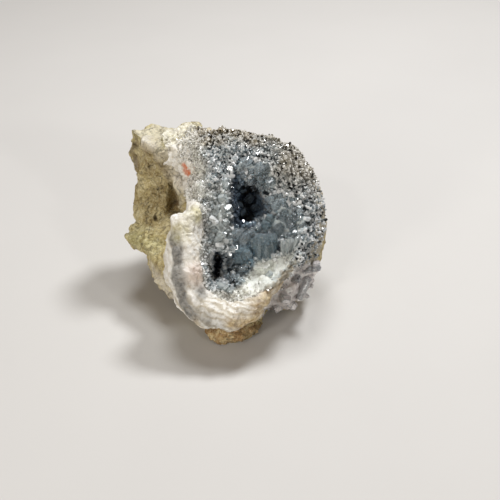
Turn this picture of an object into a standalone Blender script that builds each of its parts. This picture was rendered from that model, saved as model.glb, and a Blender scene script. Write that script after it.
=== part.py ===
"""Celestite geode: a broken nodule of pale host rock, whose hollow is lined with grey-blue crystals.

The outer form is one mesh of merged lumps. It is split into its natural parts: host rock, banded rind,
the crystal crust of the hollow and the crystals on the right flank. Lengths are in millimetres until MM
turns them into metres. Shapes are placed as a viewer of the hollow sees them: right, up and near.
"""

import math
import random

import bmesh
import bpy
from mathutils import Matrix, Vector, noise
from mathutils.bvhtree import BVHTree

MM = 0.001

# Driving dimensions
DISPLAY_RISE = 35.0  # degrees above the horizon from which the hollow is seen face on
FRONT_Y = -28.2  # the front edge of the foot, which is the zero of up and near
FOOT_HEIGHT = 12.0
GAP = 0.36  # between neighbouring pieces
VOXEL = 1.0
BUMPS = ((9.0, 1.1, 2), (3.5, 0.5, 3))  # of the broken stone: size of a bump, height, octaves of noise

# Flat facets that each surface is left with
FORM_FACETS = 2700
SEAT_FACETS = 260
HOLLOW_FACETS = 340
RIND_FACETS = 320
FLANK_FACETS = 120

# Crystals
ROOT = 1.2  # how deep a crystal's root goes into the crust
FOLLOW = 0.5  # how much a crystal stands square to the surface it grew on, against the way it leans
ROOF = 0.28  # the height of the chisel roof, as a share of the width and depth together
RIDGE = 0.6  # the length of the roof's ridge, as a share of the width
SPACING = 3.9  # between the small crystals that fill the hollow
WIDE, SLIM = 3.9, 1.9  # how wide they are in the middle of the hollow and at its rim
TILT = 0.45  # how far they lean at most
MIDDLE = Vector((11.0, 42.0))  # of the hollow, as seen
MIDDLE_TO_RIM = 27.0
FACING = 0.2  # how much a surface has to face the viewer, for a small crystal to stand on it

SEEN = Matrix.Translation((0.0, FRONT_Y * MM, 0.0)) @ Matrix.Rotation(math.radians(90.0 - DISPLAY_RISE), 4, "X")
UPRIGHT = Matrix.Identity(4)


class Lump:
    """An ellipsoid: its centre right, up and near of the foot's front edge, and its half sizes in that order."""

    def __init__(self, right, up, near, across, tall, deep, turn=0.0, frame=SEEN):
        self.centre = Vector((right, up, near))
        self.half = (across, tall, deep)
        self.turn = Matrix.Rotation(math.radians(turn), 4, "Z")
        self.frame = frame

    def placement(self, grow):
        half = [(length + grow) * MM for length in self.half]
        return self.frame @ Matrix.Translation(self.centre * MM) @ self.turn @ Matrix.Diagonal((*half, 1.0))


class Crystal:
    """A flat-faced prism: where its root is seen, how far its axis leans right and up, and its three sizes."""

    def __init__(self, right, up, lean_right, lean_up, width, depth, length, spin=0.0):
        self.seen = (right, up)
        self.axis = Vector((lean_right, lean_up, 1.0)).normalized()
        self.size = (width, depth, length)
        self.spin = math.radians(spin)


FORM = (
    Lump(6.0, 40.0, -12.0, 25.5, 27.5, 20.0),  # core
    Lump(20.5, 43.5, -10.0, 15.0, 26.0, 16.5, 6.0),  # right bulge
    Lump(3.0, 64.0, -13.0, 25.0, 10.0, 14.0, -7.0),  # top shelf
    Lump(-13.0, 73.5, -13.0, 5.0, 3.6, 5.0),  # knob on the top edge
    Lump(-25.0, 67.0, -14.0, 9.4, 9.8, 10.0),  # horn
    Lump(-22.0, 53.0, -20.0, 11.0, 24.0, 9.5),  # left wall
    Lump(-9.0, 49.0, -25.0, 15.0, 23.0, 11.0, 12.0),  # back of the left wall
    Lump(8.0, 40.0, -24.0, 20.0, 24.0, 13.0),  # rounded back
    Lump(-27.5, 37.8, -16.0, 8.4, 5.4, 7.0, 24.0),  # left tip
    Lump(-25.5, 34.0, -14.5, 10.5, 5.0, 6.5, -42.0),  # slope under the tip
    Lump(-18.5, 28.5, -11.0, 8.6, 15.5, 11.0, 28.0),  # lower left
    Lump(18.0, 22.0, -12.0, 11.0, 11.0, 11.0),  # lower right
    Lump(1.5, 14.5, -10.0, 13.5, 11.0, 12.0),  # underside
    Lump(4.5, 19.0, 2.5, 11.5, 5.0, 8.2, 8.0),  # floor inside the lip
    Lump(3.4, FRONT_Y + 21.0, FOOT_HEIGHT - 8.0, 11.0, 22.5, 8.0, frame=UPRIGHT),  # foot
)
LIP = (
    Lump(-10.5, 44.5, 6.5, 6.0, 4.6, 7.5),
    Lump(-13.0, 40.0, 7.0, 7.4, 6.5, 8.5),
    Lump(-12.8, 32.5, 8.0, 7.2, 7.0, 9.0),
    Lump(-12.0, 25.0, 8.5, 7.0, 7.0, 9.0),
    Lump(-9.5, 17.5, 8.5, 6.6, 6.6, 9.0),
    Lump(-4.0, 12.5, 9.0, 6.2, 6.2, 8.5),
    Lump(2.5, 11.5, 9.0, 5.8, 5.8, 8.5),
    Lump(8.0, 13.0, 9.0, 5.0, 5.0, 8.0),
    Lump(12.5, 17.0, 8.5, 4.0, 4.0, 8.0),
    Lump(16.0, 21.5, 8.0, 3.2, 3.2, 8.0),
    Lump(20.0, 26.0, 7.0, 2.8, 2.8, 7.5),
    Lump(24.5, 30.5, 5.0, 2.8, 2.8, 7.0),
    Lump(28.5, 36.0, 2.0, 2.8, 2.8, 7.0),
)
RECESS = (
    Lump(-23.0, 50.5, 4.0, 11.0, 22.0, 14.5, -4.0),
    Lump(-17.5, 50.0, -7.0, 5.0, 8.0, 8.0, 14.0),
)
SEAT = (
    Lump(13.0, 44.5, 14.0, 20.5, 24.5, 21.0),
    Lump(9.0, 66.0, -1.0, 21.5, 14.0, 15.0, -6.0),
    Lump(-3.0, 56.0, 4.0, 8.5, 11.0, 11.0, -10.0),
    Lump(20.0, 50.0, 2.0, 11.5, 21.0, 15.0, 10.0),
    Lump(7.0, 48.5, -6.0, 10.0, 13.0, 13.0),
    Lump(-1.5, 28.0, 6.0, 7.6, 11.0, 13.0),
    Lump(6.5, 22.5, 8.5, 9.0, 7.0, 13.0, 25.0),
    Lump(0.0, 20.5, 8.0, 6.5, 5.0, 10.0),
)
HOLLOW = (
    Lump(13.0, 43.0, 17.0, 16.5, 22.0, 17.0),
    Lump(12.0, 54.0, 10.0, 13.0, 11.0, 11.0),
    Lump(8.0, 48.5, -6.0, 7.0, 9.5, 10.0),
    Lump(12.0, 48.0, -2.0, 5.5, 3.2, 7.0, -20.0),
    Lump(-2.5, 27.5, 3.0, 3.0, 5.5, 9.0),
    Lump(3.0, 27.4, 12.0, 8.0, 6.6, 12.0),
)
RIND = LIP[:-1] + (
    Lump(-10.5, 54.5, 2.0, 7.0, 9.0, 10.0),
    Lump(-14.0, 63.0, -3.0, 8.0, 9.0, 10.0, 25.0),
    Lump(-13.5, 70.0, -7.0, 8.5, 8.0, 10.0),
)
FLANK = (
    Lump(25.0, 23.0, -6.0, 8.5, 9.5, 10.0, 30.0),
    Lump(19.0, 13.5, -5.0, 8.0, 6.5, 9.0, 35.0),
)

# Crystals that stand out in the hollow and on the flank
HOLLOW_CRYSTALS = (
    Crystal(14.5, 31.0, 0.05, 0.75, 7.0, 4.6, 10.5),  # blocky blue prism below the deep pit
    Crystal(7.5, 34.5, -0.1, 0.55, 5.2, 4.2, 8.0, 20.0),
    Crystal(10.5, 38.0, 0.1, 0.35, 3.6, 3.2, 6.5, -15.0),
    Crystal(4.5, 29.5, -0.15, 0.45, 5.6, 4.4, 7.0, 35.0),
    Crystal(19.5, 38.5, 0.2, 0.3, 5.0, 4.0, 6.5, 10.0),
    Crystal(22.5, 33.0, 0.55, 0.6, 3.4, 2.6, 7.5, 30.0),
    Crystal(25.5, 34.5, 0.6, 0.45, 2.6, 2.0, 7.0, 42.0),
    Crystal(12.5, 59.5, 0.0, -0.55, 6.0, 4.4, 6.5, 12.0),  # hanging over the deep pit
    Crystal(7.0, 60.5, -0.1, -0.45, 4.4, 3.4, 6.0, -24.0),
    Crystal(18.0, 56.0, 0.2, -0.4, 4.6, 3.6, 6.0, 40.0),
    Crystal(17.5, 47.0, -0.5, 0.1, 4.8, 3.4, 6.5, 5.0),
    Crystal(1.5, 52.0, 0.35, 0.05, 4.4, 3.4, 5.5, 22.0),
    Crystal(0.5, 44.5, 0.3, 0.1, 4.6, 3.6, 5.5, -8.0),
    Crystal(24.0, 45.5, 0.1, 0.1, 4.4, 3.6, 4.5, 30.0),
)
FLANK_CRYSTALS = (
    Crystal(28.0, 25.0, 2.2, 0.5, 2.0, 1.7, 6.6, 15.0),  # points out to the right
    Crystal(26.0, 16.5, 1.2, 2.6, 2.6, 2.2, 9.0, 10.0),  # clear prism that stands upright
    Crystal(24.0, 20.5, 0.5, 0.2, 3.6, 3.0, 3.8, 35.0),
    Crystal(21.0, 15.5, 0.4, -0.1, 3.8, 2.8, 3.6, -20.0),
    Crystal(24.0, 12.5, 0.8, -0.6, 3.2, 2.6, 4.2, 50.0),
    Crystal(25.5, 26.5, 0.8, 0.6, 2.6, 2.2, 3.6, 5.0),
    Crystal(18.5, 11.5, 0.4, -0.6, 3.0, 2.4, 3.6, 28.0),
)


def new_object(name, mesh):
    made = bpy.data.objects.new(name, mesh)
    bpy.context.scene.collection.objects.link(made)
    return made


def from_bmesh(name, shape):
    mesh = bpy.data.meshes.new(name)
    shape.to_mesh(mesh)
    shape.free()
    return new_object(name, mesh)


def freeze(obj):
    """Makes the modified shape the object's own mesh."""
    graph = bpy.context.evaluated_depsgraph_get()
    shaped = bpy.data.meshes.new_from_object(obj.evaluated_get(graph))
    obj.modifiers.clear()
    obj.data = shaped
    return obj


def remove(*objects):
    for obj in objects:
        bpy.data.objects.remove(obj)


def melt(obj):
    """Gives it one even closed surface."""
    remesh = obj.modifiers.new("Melt", "REMESH")
    remesh.mode = "VOXEL"
    remesh.voxel_size = VOXEL * MM
    return freeze(obj)


def merged(name, lumps, grow=0.0, blend=6):
    """Ellipsoids melted into one closed surface."""
    shape = bmesh.new()
    for lump in lumps:
        bmesh.ops.create_icosphere(shape, subdivisions=4, radius=1.0, matrix=lump.placement(grow))
    made = melt(from_bmesh(name, shape))
    smooth = made.modifiers.new("Blend", "SMOOTH")
    smooth.factor = 0.5
    smooth.iterations = blend
    return freeze(made)


def roughen(obj, layers, seed=0.0):
    """Moves every point along its normal by layers of noise: (size of a bump, height, octaves)."""
    shift = Vector((seed, seed * 0.7, -seed))
    mesh = obj.data
    moves = []
    for vertex in mesh.vertices:
        total = 0.0
        for size, height, octaves in layers:
            at = vertex.co / (size * MM) + shift
            total += height * MM * noise.fractal(at, 0.9, 2.0, octaves)
        moves.append(vertex.co + vertex.normal * total)
    for vertex, moved in zip(mesh.vertices, moves):
        vertex.co = moved
    return obj


def thin_out(obj, triangles):
    """Collapses the surface to flat facets, about this many."""
    count = sum(len(face.vertices) - 2 for face in obj.data.polygons)
    decimate = obj.modifiers.new("Facets", "DECIMATE")
    decimate.ratio = min(1.0, triangles / count)
    return freeze(obj)


def grown(obj, by):
    """A helper copy whose surface stands off by so much."""
    copy = new_object(obj.name + "_grown", obj.data.copy())
    push = copy.modifiers.new("Grow", "DISPLACE")
    push.strength = by * MM
    push.mid_level = 0.0
    return freeze(copy)


def combine(obj, other, operation, overlapping=False):
    boolean = obj.modifiers.new("Combine", "BOOLEAN")
    boolean.operation = operation
    boolean.solver = "EXACT"
    boolean.use_self = overlapping
    boolean.object = other
    return freeze(obj)


def largest_body(obj):
    """Drops the loose chips that a cut leaves."""
    shape = bmesh.new()
    shape.from_mesh(obj.data)
    left = set(shape.verts)
    bodies = []
    while left:
        body, edge = set(), [left.pop()]
        while edge:
            vertex = edge.pop()
            body.add(vertex)
            for link in vertex.link_edges:
                other = link.other_vert(vertex)
                if other in left:
                    left.discard(other)
                    edge.append(other)
        bodies.append(body)
    keep = max(bodies, key=len)
    loose = [vertex for body in bodies if body is not keep for vertex in body]
    bmesh.ops.delete(shape, geom=loose, context="VERTS")
    shape.to_mesh(obj.data)
    shape.free()
    return obj


def cut_flat(obj):
    """Cuts the foot off flat at the ground."""
    shape = bmesh.new()
    shape.from_mesh(obj.data)
    everything = shape.verts[:] + shape.edges[:] + shape.faces[:]
    cut = bmesh.ops.bisect_plane(
        shape, geom=everything, dist=1e-7, plane_co=(0, 0, 0), plane_no=(0, 0, 1), clear_inner=True
    )
    rim = [item for item in cut["geom_cut"] if isinstance(item, bmesh.types.BMEdge)]
    bmesh.ops.holes_fill(shape, edges=rim)
    shape.to_mesh(obj.data)
    shape.free()
    return obj


def specimen():
    """The whole outer form, before it is split into its parts."""
    form = merged("form", FORM + LIP)
    recess = merged("recess", RECESS)
    combine(form, recess, "DIFFERENCE")
    remove(recess)
    roughen(melt(form), BUMPS)
    return cut_flat(thin_out(melt(form), FORM_FACETS))


def rough_zone(name, lumps, facets, bump, seed, grow=0.0):
    """A helper that a part is cut along, with an uneven surface."""
    return thin_out(roughen(merged(name, lumps, grow), ((4.5, bump, 3),), seed), facets)


def split(form, zone):
    """Parts the form along a zone: what lies inside it, and what lies outside."""
    inside = new_object(zone.name + "_inside", form.data.copy())
    tool = grown(zone, -GAP / 2)
    combine(inside, tool, "INTERSECT")
    remove(tool)
    tool = grown(zone, GAP / 2)
    combine(form, tool, "DIFFERENCE")
    remove(tool, zone)
    return largest_body(inside), largest_body(form)


def surface_of(obj):
    return BVHTree.FromObject(obj, bpy.context.evaluated_depsgraph_get())


def crystal_frame(crystal, base, follow, facing):
    """Where a crystal stands: the point of the base that a viewer sees there, its axis up, sunk by its root."""
    right, up = crystal.seen
    eye = SEEN @ (Vector((right, up, 80.0)) * MM)
    toward = SEEN.to_3x3() @ Vector((0.0, 0.0, -1.0))
    point, normal = base.ray_cast(eye, toward)[:2]
    if point is None or normal.dot(-toward) < facing:
        return None
    axis = (SEEN.to_3x3() @ crystal.axis + normal * follow).normalized()
    turned = axis.to_track_quat("Z", "Y").to_matrix().to_4x4()
    spin = Matrix.Rotation(crystal.spin, 4, "Z")
    return Matrix.Translation(point - axis * ROOT * MM) @ turned @ spin


def add_prism(shape, frame, size):
    """Four flat sides under a chisel roof of two large faces."""
    width, depth, length = (side * MM for side in size)
    shoulder = length - ROOF * (width + depth)
    x, y = width / 2, depth / 2
    corners = [(-x, -y), (x, -y), (x, y), (-x, y)]
    points = [(a, b, 0.0) for a, b in corners] + [(a, b, shoulder) for a, b in corners]
    points += [(-x * RIDGE, 0.0, length), (x * RIDGE, 0.0, length)]
    verts = [shape.verts.new(frame @ Vector(point)) for point in points]
    faces = [(3, 2, 1, 0), (0, 1, 5, 4), (1, 2, 6, 5), (2, 3, 7, 6), (3, 0, 4, 7)]
    faces += [(4, 5, 9, 8), (6, 7, 8, 9), (5, 6, 9), (7, 4, 8)]
    for face in faces:
        shape.faces.new([verts[index] for index in face])


def clear_of(frame, size, surfaces):
    """Whether a prism keeps its distance from the neighbouring pieces."""
    width, depth, length = size
    reach = GAP + max(width, depth) / 2
    for share in (0.0, 0.3, 0.6, 0.9):
        point = frame @ Vector((0.0, 0.0, share * length * MM))
        for surface in surfaces:
            if surface.find_nearest(point)[3] < reach * MM:
                return False
    return True


def filler_crystals():
    """Small crystals all over the hollow, larger towards its middle, every one leaning a little differently."""
    chance = random.Random(12)
    left, bottom, columns, rows = -10.0, 13.0, 13, 17
    for place in range(rows * columns):
        right = left + SPACING * (place % columns + chance.uniform(0.1, 0.9))
        up = bottom + SPACING * (place // columns + chance.uniform(0.1, 0.9))
        outward = min(1.0, (Vector((right, up)) - MIDDLE).length / MIDDLE_TO_RIM)
        width = (WIDE + (SLIM - WIDE) * outward) * chance.uniform(0.75, 1.2)
        lean_right, lean_up = chance.uniform(-TILT, TILT), chance.uniform(-TILT, TILT)
        depth = width * chance.uniform(0.65, 0.95)
        length = width * chance.uniform(0.9, 1.4) + ROOT
        yield Crystal(right, up, lean_right, lean_up, width, depth, length, chance.uniform(0.0, 90.0))


def grow_crystals(base, crystals, neighbours, follow=0.0, facing=0.0):
    """Unites with the base every crystal that has room."""
    ground = surface_of(base)
    surfaces = [surface_of(obj) for obj in neighbours]
    shape = bmesh.new()
    taken = []
    for crystal in crystals:
        frame = crystal_frame(crystal, ground, follow, facing)
        if frame is None or not clear_of(frame, crystal.size, surfaces):
            continue
        middle = frame @ Vector((0.0, 0.0, crystal.size[2] * 0.5 * MM))
        radius = max(crystal.size[:2]) * 0.4 * MM
        if any((middle - other).length < radius + near for other, near in taken):
            continue
        taken.append((middle, radius))
        add_prism(shape, frame, crystal.size)
    prisms = from_bmesh("prisms", shape)
    combine(base, prisms, "UNION", overlapping=True)
    remove(prisms)
    return largest_body(base)


def paint(obj, name, colour, roughness):
    obj.name = name
    obj.data.name = name
    material = bpy.data.materials.new(name)
    material.use_nodes = True
    surface = material.node_tree.nodes["Principled BSDF"]
    surface.inputs["Base Color"].default_value = (*colour, 1.0)
    surface.inputs["Roughness"].default_value = roughness
    obj.data.materials.clear()
    obj.data.materials.append(material)


def main():
    for obj in list(bpy.data.objects):
        bpy.data.objects.remove(obj)
    form = specimen()
    crust, rock = split(form, rough_zone("seat", SEAT, SEAT_FACETS, 0.6, 3.0))
    hollow = rough_zone("hollow", HOLLOW, HOLLOW_FACETS, 0.8, 5.0)
    largest_body(combine(crust, hollow, "DIFFERENCE"))
    remove(hollow)
    rind, rock = split(rock, rough_zone("rind_zone", RIND, RIND_FACETS, 0.4, 7.0, grow=0.8))
    flank, rock = split(rock, rough_zone("flank_zone", FLANK, FLANK_FACETS, 0.6, 9.0))
    grow_crystals(crust, (*HOLLOW_CRYSTALS, *filler_crystals()), (rock, rind, flank), FOLLOW, FACING)
    grow_crystals(flank, FLANK_CRYSTALS, (rock, rind, crust))
    paint(rock, "host_rock", (0.42, 0.38, 0.24), 0.9)
    paint(rind, "rind", (0.75, 0.73, 0.66), 0.7)
    paint(crust, "crystal_crust", (0.3, 0.38, 0.45), 0.2)
    paint(flank, "flank_crystals", (0.5, 0.45, 0.48), 0.3)


main()
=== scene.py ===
"""The looks of the celestite geode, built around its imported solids.

Every solid is replaced by a dense surface of the same shape, roughened in code, and the hollow is filled
with see-through crystals. Lengths are in millimetres until MM turns them into metres. Places are given
as a viewer of the hollow sees them: right, up and near, or by the pixel of the view they are seen at.
"""

import math
from itertools import product

import bmesh
import bpy
import numpy as np
from mathutils import Matrix, Vector
from mathutils.bvhtree import BVHTree
from mathutils.kdtree import KDTree


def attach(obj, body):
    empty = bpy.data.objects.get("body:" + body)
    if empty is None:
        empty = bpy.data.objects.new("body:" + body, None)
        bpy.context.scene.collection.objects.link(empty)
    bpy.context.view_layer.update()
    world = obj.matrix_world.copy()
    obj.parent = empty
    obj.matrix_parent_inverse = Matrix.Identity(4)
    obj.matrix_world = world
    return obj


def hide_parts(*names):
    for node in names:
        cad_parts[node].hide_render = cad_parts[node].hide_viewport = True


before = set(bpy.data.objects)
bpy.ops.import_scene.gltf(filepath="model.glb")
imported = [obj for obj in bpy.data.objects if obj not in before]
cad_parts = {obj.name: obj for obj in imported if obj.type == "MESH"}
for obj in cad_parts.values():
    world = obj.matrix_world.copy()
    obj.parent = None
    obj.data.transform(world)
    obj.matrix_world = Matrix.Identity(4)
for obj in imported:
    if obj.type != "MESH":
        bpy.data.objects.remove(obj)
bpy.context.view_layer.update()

MM = 0.001

# The view that the object is shown from
DISPLAY_RISE = 35.0  # degrees that the camera looks down
FRONT_Y = -28.2  # the foot's front edge
VIEW_PIXELS = 500
VIEW_HALF = 0.08625 / 0.304  # tangent of half the angle of view: half its width over its distance
CAMERA_SEEN = Vector((8.97, 32.4, 300.0))
EDGE_DEPTH = 8.0  # how far behind the foot's front edge the outline lies, roughly
LOOK_DOWN = Matrix.Rotation(math.radians(90.0 - DISPLAY_RISE), 4, "X")
SEEN = Matrix.Translation((0.0, FRONT_Y * MM, 0.0)) @ LOOK_DOWN
TURN = SEEN.to_3x3()
TO_VIEWER = np.array(TURN @ Vector((0.0, 0.0, 1.0)))


def seen_point(right, up, near):
    return SEEN @ (Vector((right, up, near)) * MM)


def to_seen(points):
    """Right, up and near of points, in millimetres."""
    inverse = np.array(SEEN.inverted())
    return (points @ inverse[:3, :3].T + inverse[:3, 3]) / MM


def to_pixels(points):
    """The pixels of the view at which points would be seen."""
    seen = to_seen(points) - np.array(CAMERA_SEEN)
    half = VIEW_PIXELS / 2
    scale = half / VIEW_HALF / -seen[:, 2]
    return half + seen[:, 0] * scale, half - seen[:, 1] * scale


# Noise, for many points at once


def scrambled(cells, seed):
    """A number from 0 to 1 for each whole-number cell."""
    x, y, z = (cells[:, axis].astype(np.uint64) for axis in range(3))
    mixed = x * np.uint64(0x8DA6B343) ^ y * np.uint64(0xD8163841) ^ z * np.uint64(0xCB1AB31F)
    mixed = (mixed ^ np.uint64(seed * 0x9E3779B9 & 0xFFFFFFFF)) & np.uint64(0xFFFFFFFF)
    for shift, factor in ((15, 0x2C1B3C6D), (12, 0x297A2D39)):
        mixed = (mixed ^ (mixed >> np.uint64(shift))) * np.uint64(factor) & np.uint64(0xFFFFFFFF)
    return (mixed ^ (mixed >> np.uint64(15))).astype(float) / 0xFFFFFFFF


def bumps(points, size, seed):
    """Smooth noise from about -1 to 1."""
    scaled = points / (size * MM)
    cell = np.floor(scaled).astype(np.int64)
    part = scaled - cell
    ease = part**3 * (part * (part * 6.0 - 15.0) + 10.0)
    total = np.zeros(len(points))
    for corner in product((0, 1), repeat=3):
        at = cell + np.array(corner)
        slope = np.stack([scrambled(at, seed * 3 + axis) for axis in range(3)], 1) * 2.0 - 1.0
        weight = np.prod(np.where(corner, ease, 1.0 - ease), axis=1)
        total += weight * np.sum(slope * (part - corner), axis=1)
    return total * 1.7


def fractal(points, size, octaves, seed):
    """Layers of noise, each half the size and the height of the one before."""
    total, height, whole = 0.0, 1.0, 0.0
    for layer in range(octaves):
        total = total + height * bumps(points, size / 2**layer, seed + 11 * layer)
        whole += height
        height *= 0.5
    return total / whole


def grains(points, size, seed):
    """How far the nearest two scattered points are, with the nearest one's cell and the way to it."""
    scaled = points / (size * MM)
    cell = np.floor(scaled).astype(np.int64)
    nearest, second = np.full(len(points), 9.0), np.full(len(points), 9.0)
    owner, way = np.zeros_like(cell), np.zeros_like(scaled)
    for offset in product((-1, 0, 1), repeat=3):
        at = cell + np.array(offset)
        spot = at + np.stack([scrambled(at, seed * 3 + axis) for axis in range(3)], 1)
        gap = np.linalg.norm(scaled - spot, axis=1)
        closer = gap < nearest
        second = np.where(closer, nearest, np.minimum(second, gap))
        owner[closer] = at[closer]
        way[closer] = (scaled - spot)[closer]
        nearest = np.minimum(nearest, gap)
    return nearest, second, owner, way


def step(low, high, values):
    """0 below low, 1 above high, smooth between them."""
    share = np.clip((values - low) / (high - low), 0.0, 1.0)
    return share * share * (3.0 - 2.0 * share)


# Meshes as arrays


def points_of(mesh):
    flat = np.zeros(len(mesh.vertices) * 3)
    mesh.vertices.foreach_get("co", flat)
    return flat.reshape(-1, 3)


def normals_of(mesh):
    flat = np.zeros(len(mesh.vertices) * 3)
    mesh.vertices.foreach_get("normal", flat)
    return flat.reshape(-1, 3)


def move_to(mesh, points):
    mesh.vertices.foreach_set("co", points.ravel())
    mesh.update()


def keep(mesh, name, values, most=1.0):
    """Stores a value from 0 to the most for every point, for the material to read."""
    attribute = mesh.attributes.new(name, "FLOAT", "POINT")
    attribute.data.foreach_set("value", np.clip(values, 0.0, most).astype(np.float32))


def new_object(name, mesh):
    made = bpy.data.objects.new(name, mesh)
    bpy.context.scene.collection.objects.link(made)
    return made


def freeze(obj):
    graph = bpy.context.evaluated_depsgraph_get()
    shaped = bpy.data.meshes.new_from_object(obj.evaluated_get(graph))
    obj.modifiers.clear()
    obj.data = shaped
    return obj


def evened(obj, voxel):
    remesh = obj.modifiers.new("Even", "REMESH")
    remesh.mode = "VOXEL"
    remesh.voxel_size = voxel * MM
    return freeze(obj)


def softened(obj, times):
    soften = obj.modifiers.new("Soften", "SMOOTH")
    soften.factor = 0.5
    soften.iterations = times
    return freeze(obj)


def dense_copy(node, name, voxel, times):
    """The solid's shape as a fine even mesh, with its facets smoothed away."""
    shape = bmesh.new()
    shape.from_mesh(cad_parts[node].data)
    bmesh.ops.remove_doubles(shape, verts=shape.verts, dist=1e-6)
    mesh = bpy.data.meshes.new(name)
    shape.to_mesh(mesh)
    shape.free()
    return softened(evened(new_object(name, mesh), voxel), times)


def tree_of(obj):
    return BVHTree.FromObject(obj, bpy.context.evaluated_depsgraph_get())


def seen_at(tree, px, py):
    """The point and normal of a surface seen at a pixel of the view, or the nearest ones beside its edge."""
    half = VIEW_PIXELS / 2
    ray = Vector(((px - half) / half * VIEW_HALF, (half - py) / half * VIEW_HALF, -1.0))
    hit = tree.ray_cast(SEEN @ (CAMERA_SEEN * MM), (TURN @ ray).normalized())
    if hit[0] is None:
        hit = tree.find_nearest(SEEN @ ((CAMERA_SEEN + ray * (CAMERA_SEEN.z + EDGE_DEPTH)) * MM))
    return hit[0], hit[1]


def band(tree, points, pixels, radius, soft):
    """1 near a line drawn through pixels of the view, or near a single one, and 0 beyond the radius."""
    line = [np.array(seen_at(tree, *pixel)[0]) for pixel in pixels]
    away = np.full(len(points), 9.0)
    for start, end in zip(line, line[1:] or line):
        along = end - start
        share = np.clip((points - start) @ along / max(along @ along, 1e-12), 0.0, 1.0)
        gap = np.linalg.norm(points - start - share[:, None] * along, axis=1)
        away = np.minimum(away, gap)
    away = away / (radius * MM)
    return 1.0 - step(1.0 - soft, 1.0, away) if soft else np.clip(1.0 - away, 0.0, 1.0)


def marks(tree, points, rows):
    """Marks laid over each other: strength, radius and softness, then the pixels that each runs through."""
    return sum(share * band(tree, points, pixels, radius, soft) for share, radius, soft, *pixels in rows)


def within(px, py, outline, soft):
    """1 well inside an outline given in pixels of the view, 0 well outside it."""
    inside = np.zeros(len(px), bool)
    away = np.full(len(px), 999.0)
    for (x0, y0), (x1, y1) in zip(outline, outline[1:] + outline[:1]):
        crosses = (y0 > py) != (y1 > py)
        inside ^= crosses & (px < x0 + (py - y0) * (x1 - x0) / (y1 - y0 or 1.0))
        share = ((px - x0) * (x1 - x0) + (py - y0) * (y1 - y0)) / ((x1 - x0) ** 2 + (y1 - y0) ** 2)
        share = np.clip(share, 0.0, 1.0)
        away = np.minimum(away, np.hypot(px - x0 - share * (x1 - x0), py - y0 - share * (y1 - y0)))
    return step(-soft, soft, np.where(inside, away, -away))


# Materials


def linear(colour):
    """A screen colour from 0 to 255 as the shader's own."""
    share = [value / 255.0 for value in colour]
    return tuple(v / 12.92 if v <= 0.04045 else ((v + 0.055) / 1.055) ** 2.4 for v in share) + (1.0,)


class Material:
    """Builds a node tree: every call adds a node and gives its output."""

    def __init__(self, name):
        self.material = bpy.data.materials.new(name)
        self.material.use_nodes = True
        self.tree = self.material.node_tree
        self.surface = self.tree.nodes["Principled BSDF"]
        self.place = self.node("ShaderNodeTexCoord").outputs["Object"]

    def node(self, kind, inputs=None, **settings):
        made = self.tree.nodes.new(kind)
        for name, value in settings.items():
            setattr(made, name, value)
        for name, value in (inputs or {}).items():
            self.put(made.inputs[name], value)
        return made

    def put(self, socket, value):
        if isinstance(value, bpy.types.NodeSocket):
            self.tree.links.new(value, socket)
        elif socket.type == "RGBA" and len(value) == 3:
            socket.default_value = linear(value)
        else:
            socket.default_value = value

    def set(self, **values):
        for name, value in values.items():
            self.put(self.surface.inputs[name.replace("_", " ")], value)

    def noise(self, size, detail, rough, warp=0.0, place=None):
        inputs = {"Vector": place or self.place, "Scale": 1.0 / (size * MM), "Detail": detail}
        inputs.update({"Roughness": rough, "Distortion": warp})
        return self.node("ShaderNodeTexNoise", inputs).outputs["Fac"]

    def grain(self, size):
        inputs = {"Vector": self.place, "Scale": 1.0 / (size * MM)}
        return self.node("ShaderNodeTexVoronoi", inputs).outputs["Distance"]

    def attribute(self, name, output="Fac"):
        return self.node("ShaderNodeAttribute", attribute_name=name).outputs[output]

    def math(self, operation, first, second=0.0):
        return self.node("ShaderNodeMath", {0: first, 1: second}, operation=operation).outputs[0]

    def ramp(self, value, *stops):
        made = self.node("ShaderNodeValToRGB", {"Fac": value})
        spots = made.color_ramp.elements
        while len(spots) < len(stops):
            spots.new(0.5)
        for element, (place, colour) in zip(spots, stops):
            element.position = place
            element.color = linear(colour)
        return made.outputs["Color"]

    def between(self, value, low, high, to_low=0.0, to_high=1.0):
        inputs = {"Value": value, "From Min": low, "From Max": high, "To Min": to_low, "To Max": to_high}
        return self.node("ShaderNodeMapRange", inputs).outputs["Result"]

    def mix(self, share, first, second):
        """From the first colour to the second, by a share or the values kept under a name."""
        if isinstance(share, str):
            share = self.attribute(share)
        return self.node("ShaderNodeMix", {0: share, 6: first, 7: second}, data_type="RGBA").outputs[2]

    def over(self, colour, **layers):
        """The colour with others laid over it, each where the values kept under its name say so."""
        for name, layer in layers.items():
            colour = self.mix(name, colour, layer)
        return colour

    def bump(self, height, distance, strength):
        inputs = {"Height": height, "Distance": distance * MM, "Strength": strength}
        return self.node("ShaderNodeBump", inputs).outputs["Normal"]


def finish_piece(obj, material, node, smooth=True):
    obj.data.materials.clear()
    obj.data.materials.append(material.material)
    obj.data.polygons.foreach_set("use_smooth", [smooth] * len(obj.data.polygons))
    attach(obj, "root")
    if node:
        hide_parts(node)


# Host rock and rind


def chipped(points, size, seed, sharp):
    """The relief of a broken surface: flat chips, each tilted its own way."""
    near, second, owner, way = grains(points, size, seed)
    tilt = np.stack([scrambled(owner, seed + 5 + axis) for axis in range(3)], 1) - 0.5
    level = scrambled(owner, seed + 9) - 0.5
    fade = step(0.0, 0.25 / sharp, second - near)
    return (np.sum(way * tilt, axis=1) * 1.6 + 0.6 * level) * fade - 0.12 * (1.0 - fade)


def creased(points, size, octaves, seed):
    """Rounded lumps with sharp creases between them: 0 in a crease, up to about 1 on a lump."""
    total, height, whole = 0.0, 1.0, 0.0
    for layer in range(octaves):
        total = total + height * np.abs(bumps(points, size / 2**layer, seed + 13 * layer))
        whole += height
        height *= 0.55
    return 2.0 * total / whole


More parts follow.
